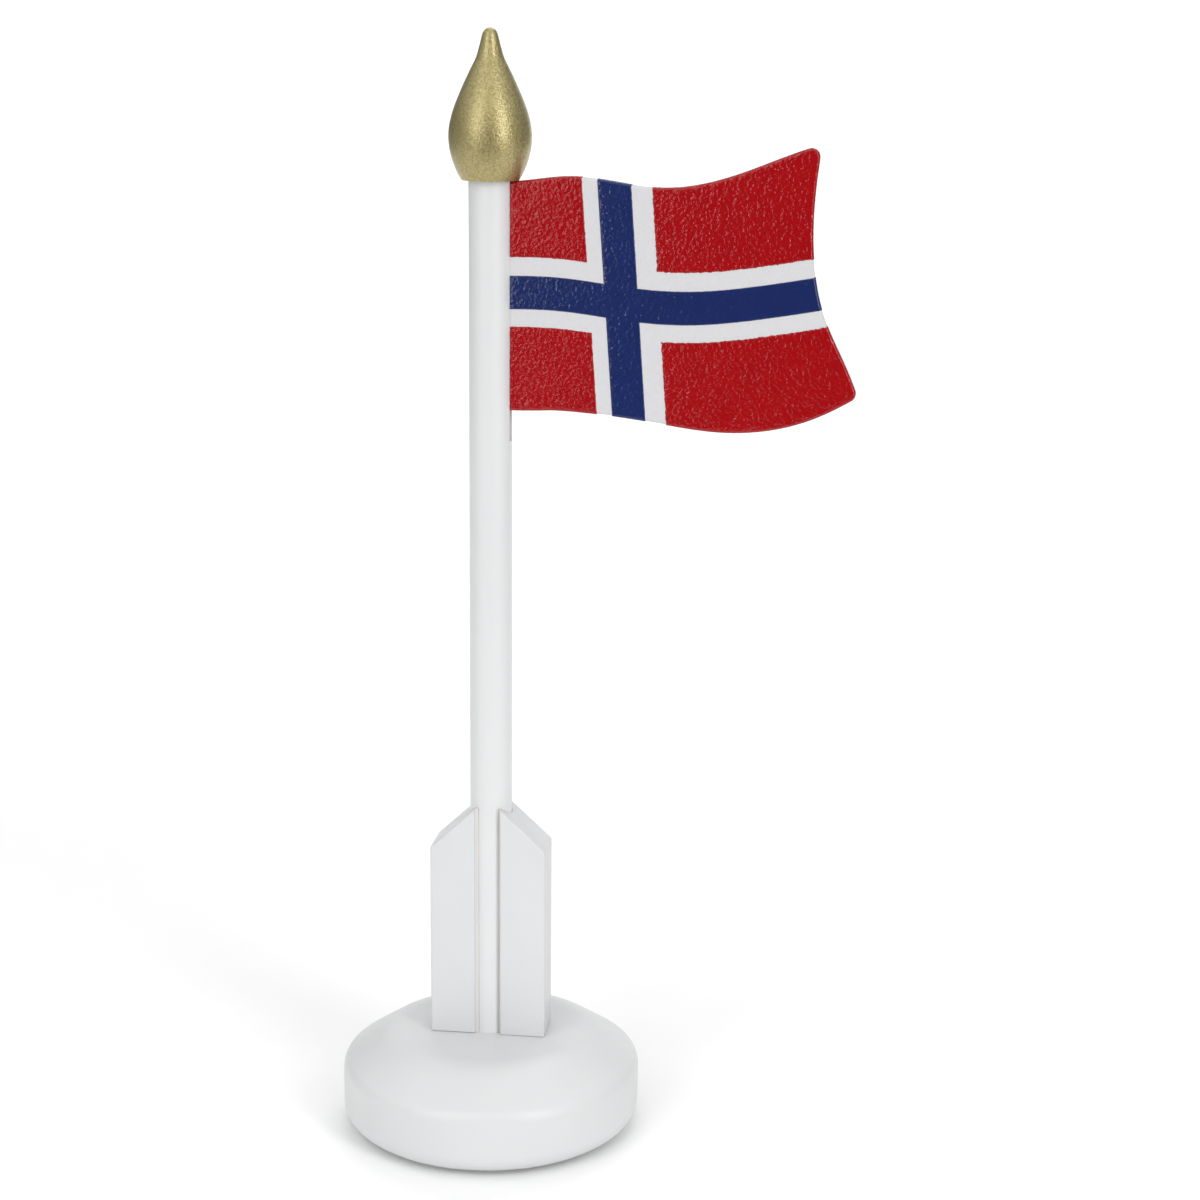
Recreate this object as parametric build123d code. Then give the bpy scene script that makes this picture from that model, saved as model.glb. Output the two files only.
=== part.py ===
from build123d import *
import math
import os

# Small wooden table flag: a turned foot, a round pole held between two bevelled cheeks, a sawn
# flag board let into a kerf in the pole, and a turned drop for a finial.
# Millimetres, +Z up. The origin is the middle of the felt pad's underside, on the desk.
# +X runs from the pole towards the flag's free end. The object is symmetric about Y = 0.

# Foot
pad_diameter = 49.0
pad_thickness = 1.0
base_diameter = 60.0
base_height = 18.8
base_side_height = 12.5
crown_diameter = 41.0
base_foot_round = 4.0
base_rim_round = 3.0
base_crown_round = 10.0
socket_depth = 12.0

# Pole
pole_diameter = 8.3
pole_shoulder_height = 189.6
pole_into_finial = 10.0

# Cheeks
cheek_gap = 5.1
cheek_width = 9.0
cheek_depth = 9.6
cheek_height = 47.4
cheek_bevel_rise = 8.3
cheek_edge_round = 0.4

# Finial
finial_height = 27.9
finial_foot_diameter = 10.8
finial_belly_diameter = 15.7
finial_belly_height = 7.7
finial_tip_round = 1.75
finial_tip_slope = math.radians(16.8)

# Flag
board_thickness = 2.7
coat_thickness = 0.15
flag_hoist_top = 189.4
flag_hoist_bottom = 146.3
flag_fly_top = Vector(61.9, 197.0)
flag_fly_bottom = Vector(69.9, 150.4)
flag_corner_round = 1.6
kerf_floor = 2.0
kerf_bottom = 140.4
cross_lean = math.radians(4.2)
blue_band_width = 6.3
white_hoist_width = 2.9
white_fly_width = 3.9
white_upper_width = 3.5
white_lower_width = 3.3
cross_middle = Vector(25.2, 167.5)
past_flag = 90.0

base_top = pad_thickness + base_height
pole_radius = pole_diameter / 2
flag_thickness = board_thickness + 2 * coat_thickness
coat_start = math.sqrt(pole_radius**2 - (board_thickness / 2) ** 2) + 0.01


def turned(profile):
    """Turn a half outline, drawn as radius and height, about the pole's axis."""
    return revolve(Plane.XZ * profile, Axis.Z, 360)


def make_felt_pad():
    pad = Cylinder(pad_diameter / 2, pad_thickness, align=(Align.CENTER, Align.CENTER, Align.MIN))
    return pad


def make_base_disc():
    radius = base_diameter / 2
    crown_radius = crown_diameter / 2
    side_top = pad_thickness + base_side_height
    half = Polygon(
        (0, pad_thickness),
        (radius, pad_thickness),
        (radius, side_top),
        (crown_radius, base_top),
        (0, base_top),
        align=None,
    )
    foot_corner = half.vertices().sort_by_distance((radius, pad_thickness))[0]
    half = fillet(foot_corner, base_foot_round)
    rim_corner = half.vertices().sort_by_distance((radius, side_top))[0]
    half = fillet(rim_corner, base_rim_round)
    crown_corner = half.vertices().sort_by_distance((crown_radius, base_top))[0]
    half = fillet(crown_corner, base_crown_round)
    disc = turned(half)
    socket = Cylinder(pole_radius, socket_depth, align=(Align.CENTER, Align.CENTER, Align.MAX))
    return disc - Pos(0, 0, base_top) * socket


def make_pole():
    pole_foot = base_top - socket_depth
    pole_top = pole_shoulder_height + pole_into_finial
    align = (Align.CENTER, Align.CENTER, Align.MIN)
    dowel = Pos(0, 0, pole_foot) * Cylinder(pole_radius, pole_top - pole_foot, align=align)
    kerf_align = (Align.MIN, Align.CENTER, Align.MIN)
    kerf = Box(pole_radius, board_thickness, pole_top - kerf_bottom, align=kerf_align)
    return dowel - Pos(kerf_floor, 0, kerf_bottom) * kerf


def make_right_cheek():
    inner = cheek_gap / 2
    outer = inner + cheek_width
    outline = Polygon(
        (inner, base_top),
        (outer, base_top),
        (outer, base_top + cheek_height - cheek_bevel_rise),
        (inner, base_top + cheek_height),
        align=None,
    )
    block = extrude(Plane.XZ * outline, cheek_depth / 2, both=True)
    groove_align = (Align.CENTER, Align.CENTER, Align.MIN)
    groove = Cylinder(pole_radius, cheek_height * 2, align=groove_align)
    above_base = block.edges().filter_by(lambda edge: edge.center().Z > base_top + cheek_edge_round)
    outside = above_base.filter_by(lambda edge: edge.center().X > inner + cheek_edge_round)
    block = fillet(outside, cheek_edge_round)
    return block - Pos(0, 0, base_top - cheek_height / 2) * groove


def make_finial():
    foot = finial_foot_diameter / 2
    belly = finial_belly_diameter / 2
    cap_middle = finial_height - finial_tip_round
    cap_start_radius = finial_tip_round * math.cos(finial_tip_slope)
    cap_start_height = cap_middle + finial_tip_round * math.sin(finial_tip_slope)
    side = Spline(
        (foot, 0),
        (0.865 * belly, 0.096 * finial_height),
        (belly, finial_belly_height),
        (0.743 * belly, 0.568 * finial_height),
        (0.37 * belly, 0.8 * finial_height),
        (cap_start_radius, cap_start_height),
        tangents=((0.7, 1), (-math.sin(finial_tip_slope), math.cos(finial_tip_slope))),
    )
    cap = TangentArc(side @ 1, (0, finial_height), tangent=side % 1)
    foot_line = Line((0, 0), (foot, 0))
    axis_line = Line((0, finial_height), (0, 0))
    drop = turned(make_face([foot_line, side, cap, axis_line]))
    bore_align = (Align.CENTER, Align.CENTER, Align.MIN)
    bore = Cylinder(pole_radius, pole_into_finial, align=bore_align)
    return Pos(0, 0, pole_shoulder_height) * (drop - bore)


def make_flag_outline(inset):
    """The board's outline, waving along its top and bottom edges, drawn in by inset."""
    hoist = kerf_floor - coat_thickness + inset
    top = flag_hoist_top - inset
    bottom = flag_hoist_bottom + inset
    fly_top = flag_fly_top + Vector(-inset, -inset)
    fly_bottom = flag_fly_bottom + Vector(-inset, inset)
    top_edge = Spline(
        (hoist, top),
        (15.5, top + 1.25),
        (33.5, top - 0.6),
        (50.0, top + 3.3),
        fly_top,
        tangents=((1, 0.02), (1, 0.3)),
    )
    fly_edge = Spline(
        fly_top,
        (60.85 - inset, 179.0),
        (63.0 - inset, 166.2),
        fly_bottom,
        tangents=((-0.12, -1), (0.35, -1)),
    )
    bottom_edge = Spline(
        fly_bottom,
        (59.2, bottom - 1.1),
        (46.5, bottom - 3.2),
        (27.0, bottom - 1.0),
        (12.5, bottom + 0.2),
        (hoist, bottom),
        tangents=((-1, -0.62), (-1, 0)),
    )
    hoist_edge = Line(bottom_edge @ 1, top_edge @ 0)
    outline = make_face([top_edge, fly_edge, bottom_edge, hoist_edge])
    for corner in (fly_top, fly_bottom):
        sharp = outline.vertices().sort_by_distance((corner.X, corner.Y))[0]
        outline = fillet(sharp, flag_corner_round - inset)
    return outline


def fold_line(rise):
    """A wavy line along the flag, parallel to the cross's middle line and rise above it."""
    middle = cross_middle.Y + rise
    return Spline(
        (-5.0, middle + 1.2),
        (14.0, middle + 1.1),
        (27.0, middle - 0.5),
        (40.0, middle - 0.9),
        (50.0, middle + 0.2),
        (75.0, middle + 4.6),
        tangents=((1, 0), (1, 0.18)),
    )


def band_along(low, high):
    """The strip between two fold lines."""
    lower = fold_line(low)
    upper = fold_line(high)
    ends = [Line(lower @ 0, upper @ 0), Line(lower @ 1, upper @ 1)]
    return make_face([lower, upper] + ends)


def band_across(near, far):
    """The leaning upright strip, from near to far along X from the cross's middle."""
    strip = Rectangle(far - near, past_flag, align=(Align.MIN, Align.CENTER))
    place = Location((cross_middle.X, cross_middle.Y, 0)) * Rotation(0, 0, math.degrees(cross_lean))
    return place * Pos(near, 0, 0) * strip


def make_cross_outlines():
    """The blue cross, and the wider cross that takes in its white border."""
    half = blue_band_width / 2
    blue = band_along(-half, half) + band_across(-half, half)
    upright = band_across(-half - white_hoist_width, half + white_fly_width)
    border = band_along(-half - white_lower_width, half + white_upper_width) + upright
    return blue, border


def slab(outline, thickness):
    """An outline drawn on XZ, given a thickness that is centred on Y = 0."""
    return extrude(Plane.XZ * outline, thickness / 2, both=True)


def make_flag():
    """The board, the four red coats and the blue coat."""
    outline = make_flag_outline(0)
    board = slab(make_flag_outline(coat_thickness), board_thickness)
    blue_outline, border_outline = make_cross_outlines()
    beside_pole = Rectangle(past_flag, past_flag, align=(Align.MIN, Align.CENTER))
    beside_pole = Pos(coat_start, cross_middle.Y) * beside_pole
    whole_coat = slab(outline & beside_pole, flag_thickness) - board
    border = slab(border_outline, 2 * flag_thickness)
    blue = whole_coat & slab(blue_outline, 2 * flag_thickness)
    reds = (whole_coat - border).solids()
    names = {
        (False, True): "red_upper_hoist",
        (False, False): "red_lower_hoist",
        (True, True): "red_upper_fly",
        (True, False): "red_lower_fly",
    }
    pieces = {"flag_board": board, "blue_cross": blue}
    for red in reds:
        middle = red.center(CenterOf.BOUNDING_BOX)
        place = (middle.X > cross_middle.X, middle.Z > cross_middle.Y)
        pieces[names[place]] = red
    return pieces


def main():
    right_cheek = make_right_cheek()
    pieces = {
        "felt_pad": make_felt_pad(),
        "base_disc": make_base_disc(),
        "pole": make_pole(),
        "right_cheek": right_cheek,
        "left_cheek": mirror(right_cheek, Plane.YZ),
        "finial": make_finial(),
    }
    pieces.update(make_flag())
    os.makedirs("parts", exist_ok=True)
    for name, shape in pieces.items():
        export_step(shape, f"parts/{name}.step")


main()
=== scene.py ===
"""Looks for a small painted wooden table flag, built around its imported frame.

The stand is a turned foot on felt, a round pole between two bevelled cheeks, a waving flag board
let into the pole, and a turned gold drop on top. Lengths are in metres, in the frame's own axes.
"""

import logging
import math
from dataclasses import dataclass
from enum import Enum

import bmesh
import bpy
from mathutils import Matrix, Vector, noise
from mathutils.geometry import delaunay_2d_cdt
from mathutils.kdtree import KDTree


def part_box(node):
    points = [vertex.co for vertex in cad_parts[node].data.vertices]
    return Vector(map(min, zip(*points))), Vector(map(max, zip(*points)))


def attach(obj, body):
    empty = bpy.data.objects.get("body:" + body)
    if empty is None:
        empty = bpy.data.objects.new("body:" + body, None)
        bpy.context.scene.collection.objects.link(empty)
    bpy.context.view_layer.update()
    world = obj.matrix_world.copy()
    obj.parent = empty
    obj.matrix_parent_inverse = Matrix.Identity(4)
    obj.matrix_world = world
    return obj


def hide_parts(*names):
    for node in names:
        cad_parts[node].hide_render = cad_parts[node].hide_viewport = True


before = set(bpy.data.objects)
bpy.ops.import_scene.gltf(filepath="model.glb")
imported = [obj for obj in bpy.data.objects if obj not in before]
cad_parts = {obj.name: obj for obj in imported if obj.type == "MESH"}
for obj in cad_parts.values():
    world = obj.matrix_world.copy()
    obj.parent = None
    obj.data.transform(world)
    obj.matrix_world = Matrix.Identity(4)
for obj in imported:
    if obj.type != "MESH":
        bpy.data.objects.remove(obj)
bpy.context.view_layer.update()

MM = 0.001
WELD = 0.001 * MM
RANGE_INPUTS = ("From Min", "From Max", "To Min", "To Max")
BODY = "root"
LOG = logging.getLogger("table_flag")

Point2 = tuple[float, float]
Span = tuple[float, float]
Colour = tuple[float, float, float]
Inputs = dict[str | int, object]


class Slot(Enum):
    """The record's material slots."""

    WHITE_WOOD = "white_painted_wood"
    UNDERCOAT = "white_undercoat"
    GOLD = "gold_painted_wood"
    RED = "red_paint"
    BLUE = "blue_paint"
    FELT = "felt"


class Grain(Enum):
    """The axis that a piece's wood grain runs along, as the scale of its pattern on X, Y and Z."""

    EVEN = (1.0, 1.0, 1.0)
    ALONG_X = (0.04, 1.0, 1.0)
    ALONG_Z = (1.0, 1.0, 0.04)


# ---------------------------------------------------------------- materials


def add_node(tree: bpy.types.NodeTree, kind: str, inputs: Inputs | None = None,
             **settings: object) -> bpy.types.Node:
    """Add a node to a tree, set its own properties and feed its inputs.

    Args:
        tree: The tree.
        kind: The node's type.
        inputs: For each input's name or place, a value or the output socket that feeds it.
        settings: The node's own properties.

    Returns:
        The new node.
    """
    made = tree.nodes.new(kind)
    for key, value in settings.items():
        setattr(made, key, value)
    for key, value in (inputs or {}).items():
        if isinstance(value, bpy.types.NodeSocket):
            tree.links.new(value, made.inputs[key])
        else:
            made.inputs[key].default_value = value
    return made


class NodeSheet:
    """A material's node tree, with short calls for its patterns, colour, gloss and relief."""

    def __init__(self, name: str) -> None:
        """Start a material with nothing but its shader.

        Args:
            name: The material's name.
        """
        self.material = bpy.data.materials.new(name)
        self.material.use_nodes = True
        self.tree = self.material.node_tree
        self.tree.nodes.clear()
        self.shader = add_node(self.tree, "ShaderNodeBsdfPrincipled")
        add_node(self.tree, "ShaderNodeOutputMaterial", {"Surface": self.shader.outputs["BSDF"]})
        self.place = add_node(self.tree, "ShaderNodeTexCoord").outputs["Object"]

    def fixed(self, **values: float) -> None:
        """Set shader sockets that are the same all over, with _ for a space in their names."""
        for name, value in values.items():
            self.shader.inputs[name.replace("_", " ")].default_value = value

    def noise(self, scale: float, detail: float = 2.0, rough: float = 0.5,
              grain: Grain = Grain.EVEN) -> bpy.types.NodeSocket:
        """Lay a noise pattern on Object coordinates.

        Args:
            scale: Pattern units per metre.
            detail: Octaves.
            rough: How strong the finer octaves are.
            grain: The axis that the pattern is drawn out along.

        Returns:
            The pattern's value, mostly between 0.3 and 0.7.
        """
        mapping = add_node(self.tree, "ShaderNodeMapping", {"Scale": grain.value, "Vector": self.place})
        inputs = {"Scale": scale, "Detail": detail, "Roughness": rough, "Vector": mapping.outputs["Vector"]}
        return add_node(self.tree, "ShaderNodeTexNoise", inputs).outputs["Fac"]

    def cells(self, scale: float) -> bpy.types.NodeSocket:
        """Lay random cells on Object coordinates, scale of them to a metre, each with one value."""
        inputs = {"Scale": scale, "Vector": self.place}
        return add_node(self.tree, "ShaderNodeTexVoronoi", inputs).outputs["Color"]

    def tint(self, pattern: bpy.types.NodeSocket, low: Colour, high: Colour,
             edges: Span = (0.3, 0.7)) -> None:
        """Colour the shader from a pattern.

        Args:
            pattern: The pattern's value.
            low: Colour at the lower edge.
            high: Colour at the upper edge.
            edges: The pattern's values at the two colours.
        """
        ramp = add_node(self.tree, "ShaderNodeValToRGB", {"Fac": pattern})
        for stop, edge, colour in zip(ramp.color_ramp.elements, edges, (low, high)):
            stop.position = edge
            stop.color = (*colour, 1.0)
        self.tree.links.new(ramp.outputs["Color"], self.shader.inputs["Base Color"])

    def gloss(self, pattern: bpy.types.NodeSocket, rough: Span, edges: Span = (0.3, 0.7)) -> None:
        """Set the shader's roughness from a pattern.

        Args:
            pattern: The pattern's value.
            rough: Roughness at the two edges.
            edges: The pattern's values there.
        """
        spread = add_node(self.tree, "ShaderNodeMapRange", dict(zip(RANGE_INPUTS, (*edges, *rough))))
        self.tree.links.new(pattern, spread.inputs["Value"])
        self.tree.links.new(spread.outputs["Result"], self.shader.inputs["Roughness"])

    def relief(self, layers: list[tuple[bpy.types.NodeSocket, float]]) -> None:
        """Stack bumps on the shader's normal.

        Args:
            layers: Each layer's pattern and its height in metres.
        """
        below = None
        for pattern, height in layers:
            inputs = {"Strength": 1.0, "Distance": height, "Height": pattern}
            if below is not None:
                inputs["Normal"] = below
            below = add_node(self.tree, "ShaderNodeBump", inputs).outputs["Normal"]
        self.tree.links.new(below, self.shader.inputs["Normal"])


@dataclass(frozen=True)
class WhitePaint:
    """Satin white paint over sanded wood, with the grain just showing through."""

    name: str
    grain: Grain
    light: Colour = (0.652, 0.660, 0.664)
    shade: Colour = (0.636, 0.645, 0.650)
    fibres_per_metre: float = 1300.0
    grain_height: float = 0.020 * MM
    peel_per_metre: float = 900.0
    peel_height: float = 0.012 * MM
    clouds_per_metre: float = 60.0
    roughness: Span = (0.36, 0.48)

    def build(self) -> bpy.types.Material:
        """Build the material."""
        sheet = NodeSheet(self.name)
        fibres = sheet.noise(self.fibres_per_metre, 4.0, 0.6, self.grain)
        peel = sheet.noise(self.peel_per_metre)
        sheet.tint(sheet.noise(self.clouds_per_metre, 3.0), self.shade, self.light)
        sheet.gloss(peel, self.roughness)
        sheet.fixed(IOR=1.47, Coat_Weight=0.15, Coat_Roughness=0.3)
        sheet.relief([(fibres, self.grain_height), (peel, self.peel_height)])
        return sheet.material


@dataclass(frozen=True)
class GoldPaint:
    """Metallic gold paint, fine flakes in a satin binder."""

    name: str
    bright: Colour = (0.47, 0.400, 0.185)
    deep: Colour = (0.35, 0.290, 0.115)
    flakes_per_metre: float = 5000.0
    flake_height: float = 0.03 * MM
    ripple_per_metre: float = 2600.0
    ripple_height: float = 0.10 * MM
    roughness: Span = (0.28, 0.46)

    def build(self) -> bpy.types.Material:
        """Build the material."""
        sheet = NodeSheet(self.name)
        flakes = sheet.cells(self.flakes_per_metre)
        ripple = sheet.noise(self.ripple_per_metre)
        sheet.tint(ripple, self.deep, self.bright, (0.40, 0.58))
        sheet.gloss(flakes, self.roughness, (0.0, 1.0))
        sheet.fixed(Metallic=0.85, IOR=1.5, Coat_Weight=0.5, Coat_Roughness=0.28)
        sheet.relief([(flakes, self.flake_height), (ripple, self.ripple_height)])
        return sheet.material


@dataclass(frozen=True)
class Lacquer:
    """A coloured lacquer coat with an orange-peel surface and fine pores."""

    name: str
    colour: Colour
    shade: Colour
    peel_height: float
    peel_per_metre: float = 1600.0
    pores_per_peel: float = 3.2
    pore_share: float = 0.06
    clouds_per_metre: float = 220.0
    roughness: Span = (0.10, 0.22)

    def build(self) -> bpy.types.Material:
        """Build the material."""
        sheet = NodeSheet(self.name)
        peel = sheet.noise(self.peel_per_metre, 1.0, 0.4)
        pores = sheet.noise(self.peel_per_metre * self.pores_per_peel, 1.0)
        sheet.tint(sheet.noise(self.clouds_per_metre, 3.0), self.shade, self.colour)
        sheet.gloss(pores, self.roughness)
        sheet.fixed(IOR=1.48)
        sheet.relief([(peel, self.peel_height), (pores, self.peel_height * self.pore_share)])
        return sheet.material


@dataclass(frozen=True)
class Undercoat:
    """Matt white undercoat with a dusty, slightly rough face."""

    name: str
    light: Colour = (0.655, 0.652, 0.667)
    shade: Colour = (0.617, 0.614, 0.629)
    dust_per_metre: float = 2600.0
    dust_height: float = 0.015 * MM
    roughness: Span = (0.5, 0.65)

    def build(self) -> bpy.types.Material:
        """Build the material."""
        sheet = NodeSheet(self.name)
        dust = sheet.noise(self.dust_per_metre, 3.0, 0.6)
        sheet.tint(dust, self.shade, self.light)
        sheet.gloss(dust, self.roughness)
        sheet.fixed(IOR=1.45)
        sheet.relief([(dust, self.dust_height)])
        return sheet.material


@dataclass(frozen=True)
class Fibrous:
    """A matt, fibrous surface: bare wood inside the joints, or pressed felt.

    Its detail is the pattern's octaves and how strong the finer ones are.
    """

    name: str
    light: Colour
    shade: Colour
    fibres_per_metre: float
    detail: Span
    height: float
    grain: Grain = Grain.EVEN
    roughness: float = 0.8
    sheen: float = 0.0

    def build(self) -> bpy.types.Material:
        """Build the material."""
        sheet = NodeSheet(self.name)
        fibres = sheet.noise(self.fibres_per_metre, *self.detail, self.grain)
        sheet.tint(fibres, self.shade, self.light)
        sheet.fixed(Roughness=self.roughness)
        if self.sheen:
            sheet.fixed(Sheen_Weight=self.sheen, Sheen_Roughness=0.6)
        sheet.relief([(fibres, self.height)])
        return sheet.material


@dataclass(frozen=True)
class Paper:
    """The matt pale paper that the stand is set on."""

    name: str = "pale_paper"
    light: float = 0.955
    shade: float = 0.94
    clouds_per_metre: float = 40.0

    def build(self) -> bpy.types.Material:
        """Build the material."""
        sheet = NodeSheet(self.name)
        clouds = sheet.noise(self.clouds_per_metre, 3.0)
        sheet.tint(clouds, (self.shade,) * 3, (self.light,) * 3)
        sheet.fixed(Roughness=0.9)
        return sheet.material


BARE_WOOD = Fibrous(
    "bare_wood", (0.62, 0.52, 0.40), (0.46, 0.37, 0.26), 2200.0, (3.0, 0.6), 0.02 * MM, Grain.ALONG_Z
)
FELT = Fibrous(
    "felt", (0.80, 0.80, 0.78), (0.62, 0.62, 0.60), 1800.0, (5.0, 0.7), 0.12 * MM, roughness=0.95, sheen=0.4
)
RED_LACQUER = Lacquer("red_lacquer", (0.345, 0.0033, 0.0056), (0.322, 0.0029, 0.0050), 0.14 * MM)
BLUE_LACQUER = Lacquer("blue_lacquer", (0.0115, 0.0225, 0.113), (0.0105, 0.0205, 0.102), 0.06 * MM)


# ---------------------------------------------------------------- shared mesh work


def rounded(corners: list[Point2], radii: list[float], steps: int = 8) -> list[Point2]:
    """Round the inner corners of an open outline with arcs.

    Args:
        corners: The outline's corners, end to end.
        radii: One radius for each corner, 0 at the ends and where it stays sharp.
        steps: Segments in each arc.

    Returns:
        The outline's points.
    """
    points: list[Point2] = []
    for index, (corner, radius) in enumerate(zip(corners, radii)):
        if radius <= 0 or index in (0, len(corners) - 1):
            points.append(corner)
            continue
        here = Vector(corner)
        back = (Vector(corners[index - 1]) - here).normalized()
        ahead = (Vector(corners[index + 1]) - here).normalized()
        half = back.angle(ahead) / 2
        reach = radius / math.tan(half)
        centre = here + (back + ahead).normalized() * (radius / math.sin(half))
        start = here + back * reach - centre
        turn = start.angle_signed(here + ahead * reach - centre)
        for step in range(steps + 1):
            spoke = start.copy()
            spoke.rotate(Matrix.Rotation(-turn * step / steps, 2))
            points.append(tuple(centre + spoke))
    return points


def new_object(name: str, data: bpy.types.ID) -> bpy.types.Object:
    """Put a mesh, curve, light or camera in the scene as an object at the origin.

    Args:
        name: The object's name.
        data: What it shows.

    Returns:
        The new object.
    """
    piece = bpy.data.objects.new(name, data)
    bpy.context.scene.collection.objects.link(piece)
    return piece


def baked(piece: bpy.types.Object) -> bpy.types.Object:
    """Turn a piece's modifiers into its plain mesh.

    Args:
        piece: The object to apply.

    Returns:
        The same object, with no modifiers.
    """
    graph = bpy.context.evaluated_depsgraph_get()
    mesh = bpy.data.meshes.new_from_object(piece.evaluated_get(graph))
    piece.modifiers.clear()
    piece.data = mesh
    return piece


def finished(name: str, mesh: bmesh.types.BMesh, *finishes: bpy.types.Material) -> bpy.types.Object:
    """Put a worked mesh in the scene as a piece, and free the working copy.

    Args:
        name: The piece's name.
        mesh: The working copy.
        finishes: The piece's finishes, in the order of its faces' numbers.

    Returns:
        The new piece.
    """
    data = bpy.data.meshes.new(name + "_mesh")
    mesh.to_mesh(data)
    mesh.free()
    for finish in finishes:
        data.materials.append(finish)
    return new_object(name, data)


def smooth(piece: bpy.types.Object, angle: float = 35.0) -> None:
    """Shade a piece smooth, with edges sharper than angle degrees left crisp."""
    piece.data.shade_smooth()
    piece.data.set_sharp_from_angle(angle=math.radians(angle))


def settle(piece: bpy.types.Object, slot: Slot, *stands_for: str) -> None:
    """Fix a finished piece to the stand and report it.

    Args:
        piece: The finished piece.
        slot: The record's slot for the piece's finish; not used.
        stands_for: The frame's nodes that it replaces.
    """
    if stands_for:
        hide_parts(*stands_for)
    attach(piece, BODY)
    LOG.info("%s: %d faces", piece.name, len(piece.data.polygons))


class GeometryTree:
    """A Geometry Nodes tree with named inputs, run once on an object."""

    def __init__(self, name: str, inputs: dict[str, str]) -> None:
        """Start a tree.

        Args:
            name: The tree's name.
            inputs: Each input's name and socket type, after the geometry.
        """
        self.tree = bpy.data.node_groups.new(name, "GeometryNodeTree")
        self.tree.interface.new_socket("Geometry", in_out="INPUT", socket_type="NodeSocketGeometry")
        self.keys: dict[str, str] = {}
        for label, kind in inputs.items():
            socket = self.tree.interface.new_socket(label, in_out="INPUT", socket_type=kind)
            self.keys[label] = socket.identifier
        self.tree.interface.new_socket("Geometry", in_out="OUTPUT", socket_type="NodeSocketGeometry")
        self.entry = self.tree.nodes.new("NodeGroupInput").outputs

    def node(self, kind: str, inputs: Inputs | None = None, **settings: object) -> bpy.types.Node:
        """Add a node, with its inputs and its own properties."""
        return add_node(self.tree, kind, inputs, **settings)

    def close(self, last: bpy.types.NodeSocket) -> None:
        """End the tree in Realize Instances and Set Material.

        Args:
            last: The socket that gives the finished geometry.
        """
        real = self.node("GeometryNodeRealizeInstances", {"Geometry": last})
        inputs = {"Geometry": real.outputs["Geometry"], "Material": self.entry["Material"]}
        dress = self.node("GeometryNodeSetMaterial", inputs)
        self.node("NodeGroupOutput", {"Geometry": dress.outputs["Geometry"]})

    def run(self, source: bpy.types.Object, name: str, values: dict[str, object]) -> bpy.types.Object:
        """Run the tree on an object and keep the result as a plain mesh.

        Args:
            source: The object that the tree starts from. It is used up.
            name: The new piece's name.
            values: A value for each named input.

        Returns:
            The new piece.
        """
        modifier = source.modifiers.new(self.tree.name, "NODES")
        modifier.node_group = self.tree
        for label, value in values.items():
            modifier[self.keys[label]] = value
        graph = bpy.context.evaluated_depsgraph_get()
        mesh = bpy.data.meshes.new_from_object(source.evaluated_get(graph))
        bpy.data.objects.remove(source)
        return new_object(name, mesh)


class Turning(GeometryTree):
    """The rule of turned work: one half outline swept round the pole's axis."""

    PATH_RADIUS = 1.0 * MM

    def __init__(self) -> None:
        """Build the tree: sweep the outline, weld its seam and let the surface wander a little."""
        inputs = {
            "Segments": "NodeSocketInt",
            "Wobble": "NodeSocketFloat",
            "Wobble Scale": "NodeSocketFloat",
            "Material": "NodeSocketMaterial",
        }
        super().__init__("turning", inputs)
        entry = self.entry
        inputs = {"Resolution": entry["Segments"], "Radius": self.PATH_RADIUS}
        ring = self.node("GeometryNodeCurvePrimitiveCircle", inputs, mode="RADIUS")
        inputs = {"Curve": ring.outputs["Curve"], "Profile Curve": entry["Geometry"]}
        sweep = self.node("GeometryNodeCurveToMesh", inputs)
        inputs = {"Geometry": sweep.outputs["Mesh"], "Distance": WELD}
        weld = self.node("GeometryNodeMergeByDistance", inputs)
        grain = self.node("ShaderNodeTexNoise", {"Scale": entry["Wobble Scale"]})
        centred = self.node("ShaderNodeMath", {0: grain.outputs["Fac"], 1: 0.5}, operation="SUBTRACT")
        inputs = {0: centred.outputs[0], 1: entry["Wobble"]}
        height = self.node("ShaderNodeMath", inputs, operation="MULTIPLY")
        normal = self.node("GeometryNodeInputNormal").outputs["Normal"]
        push = self.node("ShaderNodeVectorMath", {0: normal, "Scale": height.outputs[0]}, operation="SCALE")
        inputs = {"Geometry": weld.outputs["Geometry"], "Offset": push.outputs[0]}
        self.close(self.node("GeometryNodeSetPosition", inputs).outputs["Geometry"])

    def turn(self, name: str, outline: list[Point2], material: bpy.types.Material,
             segments: int, wobble: float = 0.0, wobbles_per_metre: float = 60.0) -> bpy.types.Object:
        """Turn an outline, given as radius and height, into a closed piece.

        Args:
            name: The new piece's name.
            outline: Radius and height of each point. Both ends are on the axis.
            material: The piece's finish.
            segments: Steps round the axis.
            wobble: How far the surface wanders, in metres.
            wobbles_per_metre: How many wanders a metre holds.

        Returns:
            The turned piece.
        """
        curve = bpy.data.curves.new(name + "_outline", "CURVE")
        curve.dimensions = "3D"
        spline = curve.splines.new("POLY")
        spline.points.add(len(outline) - 1)
        for point, (radius, height) in zip(spline.points, outline):
            point.co = (radius - self.PATH_RADIUS, -height, 0.0, 1.0)
        source = new_object(name + "_outline", curve)
        values = {
            "Segments": segments,
            "Wobble": wobble,
            "Wobble Scale": wobbles_per_metre,
            "Material": material,
        }
        piece = self.run(source, name, values)
        shell = bmesh.new()
        shell.from_mesh(piece.data)
        bmesh.ops.remove_doubles(shell, verts=shell.verts, dist=2 * WELD)
        bmesh.ops.recalc_face_normals(shell, faces=shell.faces)
        shell.to_mesh(piece.data)
        shell.free()
        smooth(piece)
        return piece


# ---------------------------------------------------------------- outlines read from the frame


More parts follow.
